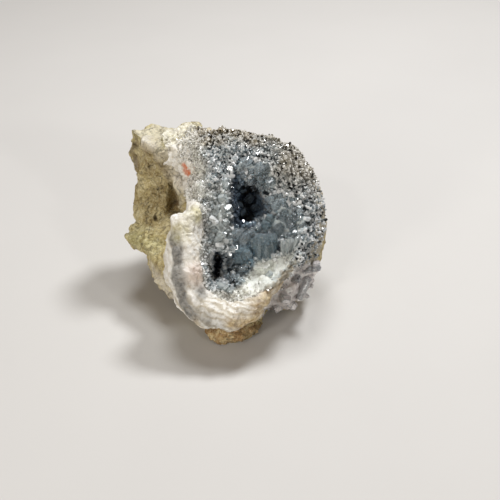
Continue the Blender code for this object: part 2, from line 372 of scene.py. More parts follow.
def warped(points, size, reach, seed):
    return points + reach * MM * np.stack([fractal(points, size, 2, seed + k) for k in range(3)], 1)


def pulled(tree, points, rows):
    """Draws parts of a surface outward or inward: pixel, radius, then right, up and near."""
    moved = points.copy()
    for px, py, radius, *way in rows:
        moved += band(tree, points, [(px, py)], radius, 1.0)[:, None] * (np.array(TURN) @ np.array(way)) * MM
    return moved


ROCK_VOXEL = 0.42
RIND_VOXEL = 0.34
ROCK_PULLS = (
    (128, 152, 9, 4.2, 0, 0),
    (136, 134, 7.5, -3, 2.2, 0),
    (154, 124, 8, 0, -4.2, 0),
    (168, 126, 5, 0, -0.8, 0),
    (134, 194, 10, 5, 0, 0),
    (131, 221, 5, 1.2, -2, 0),
    (124, 238, 4.5, -2.2, 0.8, 0),
    (129, 246, 4, 1.2, 1, 0),
    (144, 262, 8, 1.6, 1, 0),
    (218, 336, 9, -3, 0, 0),
)
RIND_PULLS = (
    (184, 204, 6, 0.4, -3, -1),
    (172, 213, 6, 1.2, -3.2, 0),
    (178, 218, 5, -1.2, 0, 0),
)

# Where the patches of colour are, as outlines in pixels of the view
TOP_CREAM = ((126, 122), (202, 114), (200, 132), (178, 141), (166, 149), (156, 146), (146, 139), (134, 141))
WHITE_ZONE = ((160, 148), (172, 141), (200, 133), (204, 203), (192, 203), (183, 189), (173, 175), (164, 160))
OLIVE_FACE = (
    (139, 142), (150, 144), (158, 153), (163, 165), (170, 176), (178, 190), (181, 207), (174, 216),
    (150, 216), (144, 204), (139, 188), (137, 165),
)

# Marks on the stone and the rind: strength, radius, softness, then the pixels that each runs through
ROCK_DENTS = (
    (0.9, 1.4, 0.9, (151, 168)),
    (0.9, 3.6, 0.9, (173, 203)),
    (0.6, 2.4, 0.9, (161, 190)),
    (0.6, 2.2, 0.9, (148, 196)),
    (0.6, 2, 0.9, (222, 334)),
)
ROCK_PALE = ((0.8, 6.0, 0.9, (150, 268), (160, 282), (172, 300)),)
ROCK_GREEN = ((1.0, 9.0, 0.9, (134, 238)), (0.8, 9.0, 0.9, (152, 246)), (1.0, 4.5, 0.8, (248, 326)))
ROCK_SHADE = (
    (0.25, 5.5, 0.9, (150, 158), (156, 178), (158, 200)),
    (0.7, 2.2, 0.6, (136, 138), (135, 150), (138, 166)),
    (0.3, 7, 0.9, (146, 150)),
    (0.6, 1.6, 0.8, (156, 158), (165, 172), (173, 186), (178, 204)),
)
RECESS_SHADE = ((0.5, 3.6, 0.8, (173, 198), (177, 206), (170, 212)),)
RIND_GREY = (
    (1.1, 2.8, 0.6, (175, 238), (177, 255), (178, 275), (181, 295), (190, 314)),
    (0.45, 3.6, 0.9, (186, 304), (196, 318), (212, 325), (236, 326)),
    (0.9, 3.6, 0.7, (201, 292)),
    (0.5, 3, 0.8, (192, 306), (206, 318)),
)
RIND_GREEN = ((1.0, 6.5, 0.9, (195, 212)), (0.8, 5.5, 0.9, (180, 232)))
RIND_PINK = ((0.8, 6.0, 0.9, (197, 274)),)
RIND_OCHRE = (
    (1, 5.5, 0.8, (236, 324), (250, 322), (262, 306), (276, 288), (288, 270)),
    (0.4, 3, 0.9, (196, 322), (216, 328), (240, 328)),
)
ORANGE_SPOTS = ((1.0, 1.7, 0.5, (185, 166)), (1.0, 2.1, 0.5, (187, 172)))
RIDGE = ((146, 141), (157, 151), (163, 160), (169, 171), (177, 181), (182, 192), (184, 206))

# From where a change starts to where it is whole, down or across the pixels of the view
ABOVE_LIP = (205.0, 190.0)
FOOT = (318.0, 328.0)
RIGHT_RIM = (262.0, 292.0)
SUGARY_PART = (225.0, 195.0)
UNDERSIDE = (288.0, 306.0)


def rock_material():
    made = Material("host_rock")
    patches = made.noise(7.0, 6.0, 0.62, 0.5)
    blotches = made.noise(2.2, 5.0, 0.65, 0.3)
    specks = made.noise(0.5, 3.0, 0.7)
    tan = made.ramp(patches, (0.34, (146, 126, 76)), (0.5, (190, 173, 120)), (0.66, (220, 208, 164)))
    tan = made.mix(made.between(blotches, 0.45, 0.64, 0.0, 0.6), tan, (200, 191, 156))
    tan = made.mix(made.between(blotches, 0.46, 0.34, 0.0, 0.7), tan, (118, 97, 56))
    green = made.mix(made.between(blotches, 0.35, 0.6), (158, 150, 96), (210, 206, 158))
    # The foot's own orange-tan, made darker as painted shade below the body
    foot = made.ramp(blotches, (0.36, (124, 88, 50)), (0.5, (170, 136, 90)), (0.64, (204, 184, 140)))
    cream = made.mix(made.between(specks, 0.35, 0.6), (208, 197, 176), (247, 245, 236))
    rim = made.mix(blotches, (150, 144, 130), (226, 222, 208))
    # The pale layer is partly the stone's own pale colour and partly painted light on upward faces and the
    # ridge crest; the shade layer is painted shade
    colour = made.over(tan, green=green, foot=foot, pale=cream, rim=rim, shade=(92, 68, 38))
    veins = made.math("ABSOLUTE", made.math("SUBTRACT", made.noise(5.5, 4.0, 0.55, 0.5), 0.5))
    cracks = made.between(veins, 0.0, 0.02, 1.0, 0.0)
    cracks = made.math("MULTIPLY", cracks, made.between(blotches, 0.44, 0.56))
    colour = made.mix(made.math("MULTIPLY", cracks, 0.45), colour, (96, 78, 44))
    colour = made.mix(made.between(specks, 0.52, 0.72, 0.0, 0.6), colour, (92, 76, 46))
    colour = made.mix(made.between(specks, 0.44, 0.3, 0.0, 0.6), colour, (232, 226, 204))
    # Painted shade: creases, pits and low places are darkened, as if little light reached them
    colour = made.mix("crevice", colour, (66, 52, 30))
    made.set(Base_Color=colour, Roughness=made.between(specks, 0.3, 0.7, 0.95, 0.75))
    rough = made.math("ADD", made.math("MULTIPLY", specks, 0.6), made.math("MULTIPLY", made.grain(0.8), 0.6))
    made.set(Normal=made.bump(made.math("SUBTRACT", rough, cracks), 0.5, 0.9))
    return made


def rock_relief(tree, points, bent, near_rind):
    """How far the stone stands out, how much painted shade its creases, pits and low places get, and where
    its ridge is.
    """
    py = to_pixels(points)[1]
    lumps = creased(bent, 5.0, 3, 5)
    crumbs = creased(points, 1.5, 2, 9)
    height = 1.3 * chipped(bent, 7.0, 1, 3.0) + 0.5 * chipped(bent, 3.0, 21, 2.5)
    height += 0.5 * (lumps - 0.45) + 0.18 * (crumbs - 0.4) + 0.2 * fractal(points, 1.4, 2, 13)
    holes, _, own, _ = grains(bent, 3.4, 17)
    deep = (scrambled(own, 3) < 0.3) * (1.0 - step(0.08, 0.3, holes))
    height -= 0.6 * deep
    height -= marks(tree, bent, ROCK_DENTS)
    crest = band(tree, warped(points, 3.0, 0.8, 44), RIDGE, 2.6, 0.0)
    height += 1.9 * crest + 0.9 * step(3.0, 0.3, near_rind) * step(*ABOVE_LIP, py)
    low = step(16.0, 6.0, points[:, 2] / MM)
    height += low * (1.3 * chipped(points, 4.2, 25, 3.0) + 0.5 * chipped(points, 1.6, 27, 2.0))
    # Painted shade in creases, pits and low places, for the material to darken
    creases = 0.6 * step(0.22, 0.04, lumps) + 0.35 * step(0.2, 0.02, crumbs) + 0.5 * step(-0.5, -1.3, height)
    return height, creases + 0.5 * deep, crest


def keep_rock_colours(mesh, tree, points, bent, normals, crest, near_crust):
    px, py = to_pixels(points)
    stray = 4.0 * fractal(points, 3.0, 3, 51)
    wander = 0.35 * fractal(points, 5.0, 3, 31)
    toward = normals @ TO_VIEWER
    facing = step(-0.1, 0.2, toward)
    outlines = TOP_CREAM, WHITE_ZONE, OLIVE_FACE
    cream, whitish, olive = (facing * within(px + stray, py + stray, line, 2.5) for line in outlines)
    # Painted light: faces turned up and toward the viewer, high on the stone, are made paler as if lit from
    # above, and the ridge crest paler still; the other pale marks are the stone's own colour
    top = step(0.35, 0.8, toward * 0.4 + normals[:, 2] * 0.8 + wander)
    pale = 0.5 * top * step(30.0, 46.0, points[:, 2] / MM) + marks(tree, points, ROCK_PALE) * (0.8 + wander)
    keep(mesh, "pale", np.maximum(pale, whitish) * (1.0 - 0.8 * olive) + 0.5 * crest, 0.97)
    keep(mesh, "green", (marks(tree, points, ROCK_GREEN) + 0.7 * cream) * (0.7 + wander))
    # The foot: its own orange-tan colour, partly darkened as painted shade below the body
    keep(mesh, "foot", facing * step(*FOOT, py) * (0.8 + 0.8 * wander), 0.9)
    keep(mesh, "rim", 0.9 * step(9.0, 3.5, near_crust + 4.0 * wander) * step(*RIGHT_RIM, px))
    shade = marks(tree, bent, RECESS_SHADE) + marks(tree, points, ROCK_SHADE)
    keep(mesh, "shade", shade * (0.8 + wander) * (1.0 - crest))


def build_rock(crust, rind):
    rock = dense_copy("host_rock", "host_rock_surface", ROCK_VOXEL, 6)
    mesh = rock.data
    move_to(mesh, pulled(tree_of(rock), points_of(mesh), ROCK_PULLS))
    points, normals = points_of(mesh), normals_of(mesh)
    tree = tree_of(rock)
    bent = warped(points, 6.0, 1.8, 40)
    near_rind, near_crust = (
        np.array([other.find_nearest(Vector(point))[3] for point in points]) / MM for other in (rind, crust)
    )
    height, crevices, crest = rock_relief(tree, points, bent, near_rind)
    shift = normals * (height + 0.1)[:, None] * MM
    shift[:, 2] *= step(0.2, 1.6, points[:, 2] / MM)  # the foot's flat stays flat
    move_to(mesh, points + shift)
    keep(mesh, "crevice", crevices, 0.8)
    keep_rock_colours(mesh, tree, points, bent, normals, crest, near_crust)
    finish_piece(rock, rock_material(), "host_rock")
    return rock


def rind_material():
    made = Material("rind")
    patches = made.noise(4.5, 6.0, 0.6, 0.6)
    blotches = made.noise(1.6, 5.0, 0.65, 0.4)
    fine = made.noise(0.55, 4.0, 0.7)
    white = made.ramp(patches, (0.3, (208, 203, 190)), (0.5, (234, 232, 225)), (0.68, (246, 245, 241)))
    white = made.mix(made.between(blotches, 0.47, 0.34, 0.0, 0.7), white, (190, 178, 152))
    white = made.mix("layer", white, (190, 181, 162))
    grey = made.mix(made.between(blotches, 0.35, 0.62), (84, 84, 82), (152, 150, 144))
    green = made.mix(made.between(blotches, 0.38, 0.6), (166, 156, 84), (222, 216, 172))
    pink = made.mix(blotches, (186, 158, 140), (222, 204, 192))
    ochre = made.mix(made.between(blotches, 0.38, 0.6), (150, 118, 70), (212, 192, 148))
    # The last layer is painted shade in the rind's creases and low places
    colour = made.over(white, grey=grey, green=green, pink=pink, ochre=ochre, crevice=(128, 108, 76))
    colour = made.mix(made.between(fine, 0.56, 0.74, 0.0, 0.5), colour, (150, 138, 116))
    spots = made.math("MULTIPLY", made.attribute("orange"), made.between(fine, 0.36, 0.6, 1.0, 0.6))
    colour = made.mix(spots, colour, (204, 104, 46))
    made.set(Base_Color=colour, Roughness=made.between(fine, 0.3, 0.7, 0.75, 0.5))
    made.set(Subsurface_Weight=0.12, Subsurface_Radius=(0.0012, 0.0011, 0.001), Subsurface_Scale=1.0)
    rough = made.math("ADD", made.math("MULTIPLY", fine, 0.6), made.math("MULTIPLY", made.grain(0.7), 0.5))
    made.set(Normal=made.bump(rough, 0.3, 0.8))
    return made


def rind_relief(points, bent, layers):
    """How far the rind stands out and how much painted shade its creases and low places get."""
    py = to_pixels(points)[1]
    sugary = step(*SUGARY_PART, py)  # the white mass at the upper left is coarser than the lip
    lumps = creased(bent, 4.0, 3, 79)
    crumbs = creased(points, 1.3, 2, 83)
    height = 0.55 * chipped(bent, 5.0, 75, 2.5) + 0.3 * (lumps - 0.45)
    height += (0.05 + 0.06 * step(*UNDERSIDE, py)) * layers
    height += (0.28 + 0.35 * sugary) * chipped(bent, 1.5, 77, 2.5) + (0.14 + 0.3 * sugary) * (crumbs - 0.4)
    # Painted shade in creases and low places, for the material to darken
    creases = 0.5 * step(0.22, 0.04, lumps) + 0.3 * step(0.18, 0.0, crumbs) + 0.45 * step(-0.3, -0.9, height)
    return height, creases


def keep_rind_colours(mesh, tree, points, bent, layers):
    px, py = to_pixels(points)
    wander = 0.4 * fractal(points, 3.5, 3, 81)
    layer = (0.35 + 0.6 * step(*UNDERSIDE, py)) * step(-0.2, 0.8, layers + 2.0 * wander)
    keep(mesh, "layer", layer, 0.9)
    keep(mesh, "grey", marks(tree, bent, RIND_GREY) * (0.9 + 1.2 * wander), 0.95)
    green = marks(tree, points, RIND_GREEN)
    green += 0.6 * within(px + 6.0 * wander, py + 6.0 * wander, TOP_CREAM, 3.0)
    keep(mesh, "green", green * (0.6 + 1.5 * wander))
    keep(mesh, "pink", marks(tree, points, RIND_PINK) * (0.8 + wander))
    keep(mesh, "ochre", marks(tree, points, RIND_OCHRE) * (0.75 + 1.6 * wander))
    orange = np.maximum(*(marks(tree, points, [row]) for row in ORANGE_SPOTS))
    keep(mesh, "orange", orange * step(-0.5, -0.1, wander))


def build_rind():
    rind = dense_copy("rind", "rind_surface", RIND_VOXEL, 8)
    mesh = rind.data
    move_to(mesh, pulled(tree_of(rind), points_of(mesh), RIND_PULLS))
    points, normals = points_of(mesh), normals_of(mesh)
    tree = tree_of(rind)
    bent = warped(points, 5.0, 1.6, 60)
    from_middle = (bent - np.array(seen_point(*HOLLOW_MIDDLE))) @ np.array(TURN)
    shell = np.linalg.norm(from_middle, axis=1) / MM
    layers = np.sin(shell * 3.1 + 4.5 * fractal(points, 5.0, 4, 71))
    height, crevices = rind_relief(points, bent, layers)
    move_to(mesh, points + normals * (height + 0.12)[:, None] * MM)
    keep(mesh, "crevice", crevices, 0.7)
    keep_rind_colours(mesh, tree, points, bent, layers)
    finish_piece(rind, rind_material(), "rind")
    return rind


# Crystals

HOLLOW = (
    # right, up, near, half sizes across, tall and deep, turn
    (13, 43, 17, 16.5, 22, 17, 0),
    (12, 54, 10, 13, 11, 11, 0),
    (8, 48.5, -6, 7, 9.5, 10, 0),
    (12, 48, -2, 5.5, 3.2, 7, -20),
    (-2.5, 27.5, 3, 3, 5.5, 9, 0),
    (3, 27.4, 12, 8, 6.6, 12, 0),
)
SIZES = (
    # pixel, radius in pixels, width of the crystals there
    (262, 238, 20, 2.4),
    (240, 240, 16, 2.2),
    (285, 222, 22, 2.1),
    (276, 206, 14, 2.3),
    (252, 178, 20, 2.2),
    (220, 212, 16, 1.7),
    (216, 238, 12, 1.9),
    (236, 270, 16, 1.4),
    (270, 272, 20, 1.5),
    (215, 262, 14, 1.3),
)
CLEAR_PLACED = (
    # pixel, lean right and up, width, depth, length, spin
    (244, 241, -0.1, 0.45, 4.4, 3.8, 5.6, 30),
    (237, 236, -0.3, 0.4, 3.4, 3, 5, 60),
    (250, 236, 0.1, 0.5, 3.2, 3, 5, 15),
    (234, 262, -0.4, 0.4, 2.6, 2.2, 4.4, 50),
    (279, 229, 0.1, 0.15, 4, 3.8, 3.4, 45),
    (276, 206, 0.1, 0.2, 3.6, 3, 3.4, 35),
    (285, 213, 0.2, 0.1, 3, 2.6, 3, 10),
    (271, 200, -0.1, 0.2, 2.8, 2.4, 3.2, 25),
    (246, 162, -0.1, -0.4, 4, 3.4, 4.4, 20),
    (259, 168, 0.1, -0.5, 4, 3.4, 4.8, 55),
    (270, 181, 0.2, -0.3, 3.4, 3, 4, 15),
    (300, 212, 0.2, 0.2, 2.2, 2, 2.6, 30),
    (303, 226, 0.2, 0.1, 2.8, 2.4, 2.6, 45),
)
BLUE_PLACED = (
    (259, 253, -0.03, 1.5, 5, 4.6, 9.6, 44),  # the blocky prism, of parallel blades
    (266, 253, 0.03, 1.5, 5, 5, 10.4, 47),
    (272, 251, 0.1, 1.4, 3, 3, 8.6, 45),
    (240, 258, -0.1, 0.4, 5, 4.2, 5.2, 10),  # the dark block beside the slit
    (247, 256, 0.1, 0.35, 3.6, 3.2, 4.8, 20),
    (267, 225, -0.5, 0.3, 3, 3.2, 4.4, 5),  # the stepped prism that reaches into the deep pit
    (271, 219, -0.5, 0.2, 2.4, 3, 4, 0),
)
# Crystals in the deep pit, given dark colours as painted shade
PIT_SHADE_PLACED = (
    (240, 205, -0.2, 0.2, 3.2, 2.8, 4.6, 20),
    (248, 198, 0.1, -0.1, 3.4, 3, 8, 50),
    (243, 217, 0, 0.4, 3.4, 2.8, 7, 35),
    (237, 190, -0.2, 0, 2.4, 2.2, 3.4, 10),
    (252, 210, 0.3, 0.2, 2.6, 2.4, 7, 0),
    (243, 188, 0, -0.2, 2.6, 2.2, 6.5, 30),
    (260, 209, -0.3, 0.1, 2.4, 2, 4, 0),
)
FROSTED_PLACED = (
    (231, 171, -0.2, 0.6, 2.2, 2, 3.6, 0),  # the bright facet over the deep pit
    (289, 250, 0.5, 1, 2.6, 2.2, 7, 20),  # pale blades beside the blocky prism
    (284, 252, 0.2, 1, 2, 1.8, 6.4, 45),
    (294, 246, 0.8, 0.8, 2, 1.6, 6, 30),
    (226, 186, 0.3, -0.1, 2.6, 2.2, 2.6, 40),
    (222, 198, 0.2, 0, 3, 2.6, 2.6, 15),
    (227, 208, 0.4, 0, 2.6, 2.2, 3, 20),
    (217, 214, 0.1, 0, 3.2, 2.8, 2.6, 50),
    (225, 222, 0.4, 0.1, 2.8, 2.4, 2.8, 10),
    (214, 230, 0.2, 0.2, 3, 2.6, 2.6, 30),
    (219, 285, 0.9, -0.8, 2.2, 1.6, 6, 20),  # the streak at the foot of the slit
    (226, 289, 0.9, -0.5, 1.8, 1.4, 5, 50),
)
NEEDLES = (
    # from pixel, to pixel, how many, lean right and up, width, length
    ((226, 268), (246, 274), 9, (0.5, 0.5), 1.1, 4.6),
    ((228, 278), (244, 283), 7, (-0.5, 0.6), 1, 4.2),
)
HOLLOW_MIDDLE = (11.0, 42.0, 12.0)  # right, up and near
LINING_VOXELS = (0.4, 0.36)  # before and after the crystals are pressed flat
SMALLEST = 0.62  # the width of a grain of the druse
BIGGEST_DRUSE = 1.55  # a wider crystal gets its natural faces
BIGGEST_REACH = 3.0
OPEN_REACH = 1.6  # a crystal grows where nothing is as close above it as this
LEAN = 0.42  # how far crystals lean away from upright, as a share
EDGE_SHARE = 0.018  # the width of a crystal's bright edges, as a share of its width and depth together
STRETCH = 0.12  # growth lines are this much finer across a crystal than along it
PRISM_ANGLES = (36.0, 54.0)  # of a crystal's faces, in degrees
ROOF_ANGLES = (38.0, 52.0)
GABLE_ANGLES = (48.0, 62.0)


def beyond_hollow(points):
    """How far points are outside the hollow's rounded space, and the way out."""
    seen = to_seen(points)
    depth = np.full(len(points), 99.0)
    out = np.zeros_like(seen)
    for right, up, near, across, tall, deep, turn in HOLLOW:
        angle = math.radians(turn)
        along, aside = math.cos(angle), math.sin(angle)
        spin = np.array([[along, -aside, 0], [aside, along, 0], [0, 0, 1]])
        half = np.array([across, tall, deep])
        local = (seen - (right, up, near)) @ spin
        outer = np.linalg.norm(local / half, axis=1)
        slope = local / half**2
        steep = np.linalg.norm(slope, axis=1)
        gap = outer * (outer - 1.0) / np.maximum(steep, 1e-9)
        closer = gap < depth
        depth[closer] = gap[closer]
        out[closer] = ((slope / np.maximum(steep, 1e-9)[:, None]) @ spin.T)[closer]
    return depth, out @ np.array(TURN).T


def flatten_crystals(points):
    """Presses the solid's own crystals back onto the wall of the hollow."""
    for _ in range(6):
        gap, out = beyond_hollow(points)
        push = np.where(gap < -0.5, -gap - 0.2, 0.0)
        points = points + out * push[:, None] * MM
    return points


def facet_planes(width, depth, length, chance):
    """The faces of one crystal: a blunt lozenge prism under a roof of two large faces and two small ones."""
    planes = []
    angle = math.radians(chance.uniform(*PRISM_ANGLES))
    for sign_x, sign_y in ((1, 1), (1, -1), (-1, 1), (-1, -1)):
        normal = Vector((sign_x * math.cos(angle), sign_y * math.sin(angle), 0.0))
        reach = (abs(normal.x) * width + abs(normal.y) * depth) / 2 * chance.uniform(0.74, 0.9)
        planes.append((normal * reach, normal))
    roof = math.radians(chance.uniform(*ROOF_ANGLES))
    for sign in (1, -1):
        normal = Vector((0.0, sign * math.sin(roof), math.cos(roof)))
        planes.append((Vector((0.0, 0.0, length - chance.uniform(0.0, 0.18) * depth)), normal))
    gable = math.radians(chance.uniform(*GABLE_ANGLES))
    for sign in (1, -1):
        normal = Vector((sign * math.sin(gable), 0.0, math.cos(gable)))
        planes.append((Vector((0.0, 0.0, length + chance.uniform(0.15, 0.45) * width)), normal))
    return planes


def add_crystal(target, placed, width, depth, length, chance):
    """Cuts one crystal out of a block."""
    block = bmesh.new()
    bmesh.ops.create_cube(block, size=1.0)
    for vert in block.verts:
        vert.co = Vector((vert.co.x * width, vert.co.y * depth, (vert.co.z + 0.5) * length))
    for point, normal in facet_planes(width, depth, length, chance):
        geometry = block.verts[:] + block.edges[:] + block.faces[:]
        cut = bmesh.ops.bisect_plane(
            block, geom=geometry, dist=1e-5, plane_co=point, plane_no=normal, clear_outer=True
        )
        rim = [item for item in cut["geom_cut"] if isinstance(item, bmesh.types.BMEdge)]
        if len(rim) > 2:
            bmesh.ops.contextual_create(block, geom=rim)
    edges = [edge for edge in block.edges if edge.calc_length() > 0.3]
    worn = EDGE_SHARE * (width + depth)
    bmesh.ops.bevel(block, geom=edges, offset=worn, segments=1, affect="EDGES", material=1)
    grown = target.verts.layers.float_vector["grown"]
    shift = Vector(chance.uniform(0.0, 50.0, 3))
    new = {}
    for vert in block.verts:
        new[vert] = target.verts.new(placed @ (vert.co * MM))
        new[vert][grown] = (Vector((vert.co.x, vert.co.y, vert.co.z * STRETCH)) + shift) * MM
    for face in block.faces:
        target.faces.new([new[vert] for vert in face.verts]).material_index = face.material_index
    block.free()


def scatter(mesh, count, chance):
    """Random points all over a mesh, with the normals there."""
    mesh.calc_loop_triangles()
    corners = np.zeros(len(mesh.loop_triangles) * 3, np.int64)
    mesh.loop_triangles.foreach_get("vertices", corners)
    corners = corners.reshape(-1, 3)
    points, normals = points_of(mesh), normals_of(mesh)
    a, b, c = (points[corners[:, k]] for k in range(3))
    area = np.linalg.norm(np.cross(b - a, c - a), axis=1)
    picked = chance.choice(len(corners), count, p=area / area.sum())
    u, v = chance.random((2, count))
    flip = u + v > 1.0
    u, v = np.where(flip, 1.0 - u, u), np.where(flip, 1.0 - v, v)
    w = 1.0 - u - v
    a, b, c = (points[corners[picked, k]] for k in range(3))
    spots = a * w[:, None] + b * u[:, None] + c * v[:, None]
    return spots, normals[corners[picked, 0]]


def in_the_open(points, normals, covers):
    """Whether nothing lies close above each point."""
    free = np.ones(len(points), bool)
    for index, (point, normal) in enumerate(zip(points, normals)):
        start, toward = Vector(point), Vector(normal)
        for cover in covers:
            if cover.ray_cast(start, toward, OPEN_REACH * MM)[0] is not None:
                free[index] = False
                break
    return free


def crystal_sizes(points, chance):
    """How wide a crystal at each point grows: tiny at the rim, larger around the middle of the hollow."""
    px, py = to_pixels(points)
    width = np.full(len(points), SMALLEST)
    for x, y, radius, size in SIZES:
        away = np.hypot(px - x, py - y) / radius
        width = np.maximum(width, size * np.exp(-0.7 * away**2))
    return width * chance.uniform(0.55, 1.25, len(points))


def spaced(points, widths, share, taken=()):
    """Picks points whose crystals have room, the widest first."""
    tree = KDTree(len(points))
    for index, point in enumerate(points):
        tree.insert(point, index)
    tree.balance()
    reach = widths * share * MM
    free = np.ones(len(points), bool)
    for point, radius in taken:
        for _, other, gap in tree.find_range(point, (radius + BIGGEST_REACH) * MM):
            if gap < radius * MM + 0.6 * reach[other]:
                free[other] = False
    kept = []
    for index in np.argsort(-widths):
        if not free[index]:
            continue
        kept.append(index)
        for _, other, gap in tree.find_range(points[index], 2.0 * reach[index]):
            if gap < reach[index] + reach[other]:
                free[other] = False
    return np.array(kept)


def leaning(normals, chance, lean):
    """Axes that stand on a surface, each leaning its own way, and a direction across each."""
    axes = normals + lean * chance.normal(size=normals.shape)
    axes /= np.linalg.norm(axes, axis=1)[:, None]
    across = np.cross(axes, chance.normal(size=normals.shape))
    across /= np.linalg.norm(across, axis=1)[:, None]
    return axes, across


def small_crystals(name, points, axes, across, widths, chance):
    """One mesh of many little crystals with chisel points."""
    count = len(points)
    depth = widths * chance.uniform(0.55, 0.95, count)
    length = widths * chance.uniform(1.0, 1.9, count)
    shoulder = length - chance.uniform(0.35, 0.75, count) * widths
    ridge = chance.uniform(0.0, 0.45, count)
    zero = np.zeros(count)
    x, y, slant = widths / 2, depth / 2, chance.uniform(-0.2, 0.2, count) * widths
    corners = [(-x, -y, zero), (x, -y, zero), (x, y, zero), (-x, y, zero)]
    corners += [(-x, -y, shoulder), (x, -y, shoulder), (x, y, shoulder + slant), (-x, y, shoulder + slant)]
    corners += [(-x * ridge, zero, length), (x * ridge, zero, length)]
    sink = 0.3 * widths
    side = np.cross(axes, across)
    verts = []
    for right, forward, up in corners:
        move = right[:, None] * across + forward[:, None] * side + (up - sink)[:, None] * axes
        verts.append(points + move * MM)
    verts = np.stack(verts, 1).reshape(-1, 3)
    faces = [(3, 2, 1, 0), (0, 1, 5, 4), (1, 2, 6, 5), (2, 3, 7, 6), (3, 0, 4, 7)]
    faces += [(4, 5, 9, 8), (6, 7, 8, 9), (5, 6, 9), (7, 4, 8)]
    starts = range(0, len(verts), len(corners))
    mesh = bpy.data.meshes.new(name)
    mesh.from_pydata(verts, [], [[start + corner for corner in face] for start in starts for face in faces])
    # Each grain's random tone; the druse material turns its ends into painted glints and painted dark
    # reflections
    keep(mesh, "tone_and_glitter", np.repeat(chance.random(count), len(corners)))
    return new_object(name, mesh)


def new_shape():
    shape = bmesh.new()
    shape.verts.layers.float_vector.new("grown")
    return shape


def add_scattered(shape, points, axes, across, widths, chance):
    """Adds crystals with their natural faces."""
    for point, axis, side, width in zip(points, axes, across, widths):
        depth = width * chance.uniform(0.6, 0.95)
        length = width * chance.uniform(1.1, 1.9)
        axis, side = Vector(axis), Vector(side)
        turned = Matrix((side, axis.cross(side), axis)).transposed().to_4x4()
        placed = Matrix.Translation(Vector(point) - axis * 0.35 * width * MM) @ turned
        add_crystal(shape, placed, width, depth, length, chance)


def crystal_piece(name, shape):
    mesh = bpy.data.meshes.new(name)
    shape.to_mesh(mesh)
    shape.free()
    made = new_object(name, mesh)
    kinds = np.zeros(len(mesh.polygons), np.int32)
    mesh.polygons.foreach_get("material_index", kinds)
    finish_piece(made, crystal_material(name), None, False)
    mesh.materials.append(edge_material().material)
    mesh.polygons.foreach_set("material_index", kinds)


def placed_crystals(target, ground, chance, table, follow):
    """Adds the crystals that have a place of their own, and tells where they stand."""
    taken = []
    for px, py, lean_right, lean_up, width, depth, length, spin in table:
        point, normal = seen_at(ground, px, py)
        lean = Vector((lean_right, lean_up, 1.0)).normalized()
        axis = (TURN @ lean + follow * normal).normalized()
        turned = axis.to_track_quat("Z", "Y").to_matrix().to_4x4()
        turned = turned @ Matrix.Rotation(math.radians(spin), 4, "Z")
        root = Matrix.Translation(point - axis * 0.3 * width * MM)
        add_crystal(target, root @ turned, width, depth, length, chance)
        taken.append((point + axis * 0.25 * length * MM, 0.36 * (width + depth)))
    return taken


# Parts of the hollow, as outlines in pixels of the view
DEEP_PIT = (
    (236, 173), (243, 180), (250, 187), (261, 196), (268, 200), (262, 203), (262, 205), (273, 205),
    (272, 213), (262, 215), (257, 224), (248, 230), (237, 229), (231, 222), (233, 212), (228, 204),
    (232, 197), (230, 186),
)
SLIT = ((216, 251), (221, 254), (222, 262), (220, 270), (218, 277), (214, 276), (215, 266), (212, 258))
MISTY = ((206, 190), (222, 182), (232, 196), (231, 216), (234, 230), (226, 246), (212, 252), (204, 232))
PALE_SHELF = ((232, 290), (250, 274), (256, 262), (276, 258), (294, 252), (290, 266), (270, 286), (250, 298))
RIM_STRIP = (
    (250, 301), (262, 292), (275, 282), (289, 267), (302, 254), (293, 270), (282, 288), (270, 304),
    (260, 326),
)
BLUE_MIDDLE = (248, 262)
ORANGE_MIDDLE = (187, 169)

# From where a change starts to where it is whole, down or across the pixels of the view
OCHRE_TOP = (152.0, 132.0)
OCHRE_TOP_LEFT = (188.0, 200.0)
OCHRE_RIGHT = (255.0, 292.0)
OCHRE_RIGHT_LOW = (205.0, 165.0)
WHITE_BOTTOM = (286.0, 296.0)
WHITE_LEFT = (212.0, 196.0)
FRINGE_RIGHT = (262.0, 290.0)
FRINGE_TOP = (206.0, 190.0)
FRINGE_LEFT = (212.0, 200.0)


def hollow_masks(points):
    """How ochre, white, blue and calm the hollow is at each point, where the deep pit and the slit get
    painted shade, and how far in it lies.
    """
    wander = fractal(points, 5.0, 3, 91)
    ragged = fractal(points, 1.6, 2, 93)
    px, py = to_pixels(points)
    around = px + 3.0 * ragged, py + 3.0 * ragged
    ochre = step(*OCHRE_TOP, py + 14.0 * wander) * step(*OCHRE_TOP_LEFT, px)
    right = step(*OCHRE_RIGHT, px + 24.0 * wander) * step(*OCHRE_RIGHT_LOW, py + 18.0 * wander)
    strip = within(*around, RIM_STRIP, 2.0)
    misty = within(*around, MISTY, 6.0)
    shelf = within(px + 6.0 * wander, py + 6.0 * wander, PALE_SHELF, 5.0)
    white = 0.8 * shelf + 0.3 * misty + step(*WHITE_BOTTOM, py + 6.0 * wander)
    white += step(*WHITE_LEFT, px + 8.0 * wander)
    from_blue = np.hypot(px - BLUE_MIDDLE[0], (py - BLUE_MIDDLE[1]) * 1.2)
    return {
        "ochre": np.maximum(np.maximum(ochre, 0.8 * right), 0.9 * strip),
        # Painted shade: the deep pit and the slit are coloured near black
        "dark": np.maximum(within(*around, DEEP_PIT, 1.5), within(*around, SLIT, 1.0)),
        "far": step(-2.0, -9.0, to_seen(points)[:, 2]),  # where little light comes as it is
        "white": white,
        "blue": step(30.0, 10.0, from_blue + 10.0 * wander) * (1.0 - shelf),
        "calm": np.maximum(misty, shelf),
    }


